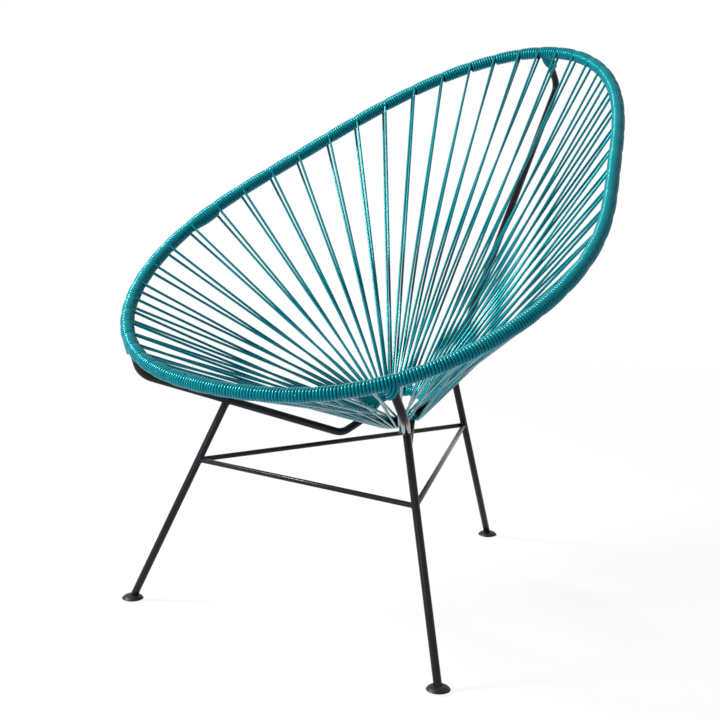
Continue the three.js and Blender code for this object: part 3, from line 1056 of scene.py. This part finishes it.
@dataclass(frozen=True)
class Channel:
    """A node's output, with arithmetic that adds its Math nodes."""

    paint: Paint
    socket: NodeSocket

    def maths(self, operation: str, other: Union["Channel", float]) -> "Channel":
        """Adds a Math node on the channel and another value."""
        return self.paint.channel("Math", 0, {0: self, 1: other}, operation=operation)

    def __add__(self, other: Union["Channel", float]) -> "Channel":
        """The sum."""
        return self.maths("ADD", other)

    def __mul__(self, other: Union["Channel", float]) -> "Channel":
        """The product."""
        return self.maths("MULTIPLY", other)

    def over(self, low: float, high: float) -> "Channel":
        """Goes from 0 to 1 smoothly as the channel goes from low to high."""
        return self.paint.channel("MapRange", 0, {0: self, 1: low, 2: high},
                                  interpolation_type="SMOOTHSTEP")


@dataclass(frozen=True)
class CordFinish:
    """Glossy plastic cord, a little uneven: its noises' scale and detail, and their share in the colour."""

    deep: Colour = (0.0003, 0.15, 0.21, 1)
    fresh: Colour = (0.0005, 0.24, 0.285, 1)
    clouds: Triple = (9, 3, 0.8)
    specks: Triple = (420, 2, 0.2)
    coat: Coat = Coat((0.2, 0.28), 60, 900, 0.02, 0.0003, 1)
    bending: float = 1.4
    tint: Colour = (0.06, 0.93, 1, 1)

    def material(self) -> Material:
        """Makes the material."""
        paint = Paint(bpy.data.materials.new("cord_plastic"))
        slow, fine = (paint.noise(scale, detail) * share
                      for scale, detail, share in (self.clouds, self.specks))
        colour = paint.mixed(slow + fine, self.deep, self.fresh)
        return self.coat.over(paint, colour, {"IOR": self.bending, "Specular Tint": self.tint})


@dataclass(frozen=True)
class SteelFinish:
    """Satin black powder coat over steel, with its fine orange peel."""

    name: str = "powder_coat"
    coat: Coat = Coat((0.17, 0.25), 45, 700, 0.12, 0.0004, 0.22)
    dark: Colour = (0.006, 0.007, 0.010, 1)
    light: Colour = (0.010, 0.0115, 0.0155, 1)
    clouds: Couple = (14, 3)
    cloud_edges: Couple = (0.3, 0.7)

    def material(self) -> Material:
        """Makes the material."""
        paint = Paint(bpy.data.materials.new(self.name))
        colour = paint.mixed(paint.noise(*self.clouds).over(*self.cloud_edges), self.dark, self.light)
        return self.coat.over(paint, colour, {})


# The studio.


WHITE: Colour = (1, 1, 1, 1)


@dataclass(frozen=True)
class Lamp:
    """A square soft lamp that points at the chair, in metres and watts."""

    name: str
    place: Triple
    size: float
    power: float
    colour: Triple
    target: Triple = (0, 0, 0.45)

    def hang(self) -> None:
        """Adds the lamp. The camera doesn't see it."""
        data = bpy.data.lights.new(self.name, "AREA")
        data.shape, data.size, data.energy, data.color = "SQUARE", self.size, self.power, self.colour
        lamp = linked(self.name, data)
        lamp.location = self.place
        lamp.visible_camera = False
        lamp.rotation_euler = (Vector(self.target) - Vector(self.place)).to_track_quat("-Z", "Y").to_euler()


@dataclass(frozen=True)
class Studio:
    """Plain pale floor, soft light, and the camera where the photograph was taken from."""

    eye: Triple = (1153.6, -1850.6, 773.2)
    azimuth: float = 34.13
    downward: float = 10.42
    roll: float = 1.424
    focal_pixels: float = 1347.4
    picture_pixels: float = 720
    sensor: float = 36
    clip: Couple = (0.05, 100)
    floor_size: float = 40
    floor_bounce: Colour = (0.6, 0.8, 0.95, 1)
    floor_faint: Colour = (0.1, 0.1, 0.1, 1)
    floor_glow: float = 0.93
    floor_fade: Couple = (1, 2.6)
    air: Colour = (0.02, 0.045, 0.085, 1)
    lamps: tuple[Lamp, ...] = (Lamp("key_lamp", (-1.95, -1.5, 2.3), 0.5, 158, (1, 0.99, 0.86)),
                               Lamp("front_lamp", (-0.2, -3.3, 0.9), 1.2, 12, (0.75, 0.9, 1)))

    def camera(self, maker: Maker) -> None:
        """Places the camera."""
        a, q, r = (math.radians(v) for v in (self.azimuth, self.downward, self.roll))
        forward = vec(-math.sin(a) * math.cos(q), math.cos(a) * math.cos(q), -math.sin(q))
        right = vec(math.cos(a), math.sin(a), 0)
        up = np.cross(right, forward)
        across = math.cos(r) * right + math.sin(r) * up
        over = -math.sin(r) * right + math.cos(r) * up
        data = bpy.data.cameras.new("photograph_camera")
        data.sensor_fit, data.sensor_width, data.sensor_height = "HORIZONTAL", self.sensor, self.sensor
        data.lens = self.focal_pixels / self.picture_pixels * self.sensor
        data.clip_start, data.clip_end = self.clip
        camera = linked("photograph_camera", data)
        turn = Matrix((across, over, -forward)).transposed()
        camera.matrix_world = Matrix.Translation(maker.place(vec(*self.eye))) @ turn.to_4x4()
        bpy.context.scene.camera = camera

    def seen(self, paint: Paint) -> Channel:
        """1 for rays that show the background: camera, glossy and transmission rays."""
        camera, glossy, through = (paint.channel("LightPath", f"Is {kind} Ray", {})
                                   for kind in ("Camera", "Glossy", "Transmission"))
        return camera.maths("MAXIMUM", glossy.maths("MAXIMUM", through))

    def floor(self) -> None:
        """Lays the floor. It is seen as near white that fades to white, and lights the chair as pale blue."""
        bpy.ops.object.select_all(action="DESELECT")
        bpy.ops.mesh.primitive_plane_add(size=self.floor_size, location=(0, 0, 0))
        floor = bpy.context.object
        floor.name = "studio_floor"
        paint = Paint(bpy.data.materials.new("pale_floor"))
        bounce, faint = (paint.channel("BsdfDiffuse", 0, {"Color": colour})
                         for colour in (self.floor_bounce, self.floor_faint))
        glow, white = (paint.channel("Emission", 0, {"Color": WHITE, "Strength": power})
                       for power in (self.floor_glow, 1))
        pale = paint.channel("AddShader", 0, {0: glow, 1: faint})
        away = paint.channel("VectorMath", "Value", {0: paint.where()}, operation="LENGTH")
        shown = paint.channel("MixShader", 0, {0: away.over(*self.floor_fade), 1: pale, 2: white})
        paint.surface(paint.channel("MixShader", 0, {0: self.seen(paint), 1: bounce, 2: shown}))
        floor.data.materials.append(paint.owner)

    def world(self) -> None:
        """Sets the world: white behind the chair, and soft light from all round."""
        paint = Paint(bpy.data.worlds.new("studio_world"))
        bpy.context.scene.world = paint.owner
        colour = paint.mixed(self.seen(paint), self.air, WHITE)
        paint.surface(paint.channel("Background", 0, {"Color": colour, "Strength": 1}), "OutputWorld")

    def build(self, maker: Maker) -> None:
        """Sets up the camera, floor, world and lamps."""
        self.camera(maker)
        self.floor()
        self.world()
        for lamp in self.lamps:
            lamp.hang()
        bpy.context.scene.view_settings.view_transform = "Standard"


def main() -> None:
    """Builds the chair's pieces and the studio."""
    logging.basicConfig(level=logging.INFO, format="%(name)s: %(message)s")
    sizes = ChairSizes()
    steel_frame = SteelFrame(sizes)
    low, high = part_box("rear_glide")
    middle = (np.array(low) + np.array(high)) / 2 / MM
    maker = Maker(vec(0, middle[1] - steel_frame.rear_foot_back, 0))
    log.info("shift of the middle: %s mm", maker.shift)
    cord, steel = CordFinish().material(), SteelFinish().material()
    glide = SteelFinish("glide_coat", Coat((0.38, 0.5), 45, 1100, 0.12, 0.0004, 0.22)).material()
    CordWeb(sizes, steel_frame.roots()).build(maker, cord)
    steel_frame.build(maker, steel, glide)
    for hidden in ("hoop_tube", "seat_ring_tube"):
        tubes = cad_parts[hidden]
        tubes.data.materials.clear()
        tubes.data.materials.append(steel)
    Studio().build(maker)


if __name__ == "__main__":
    main()
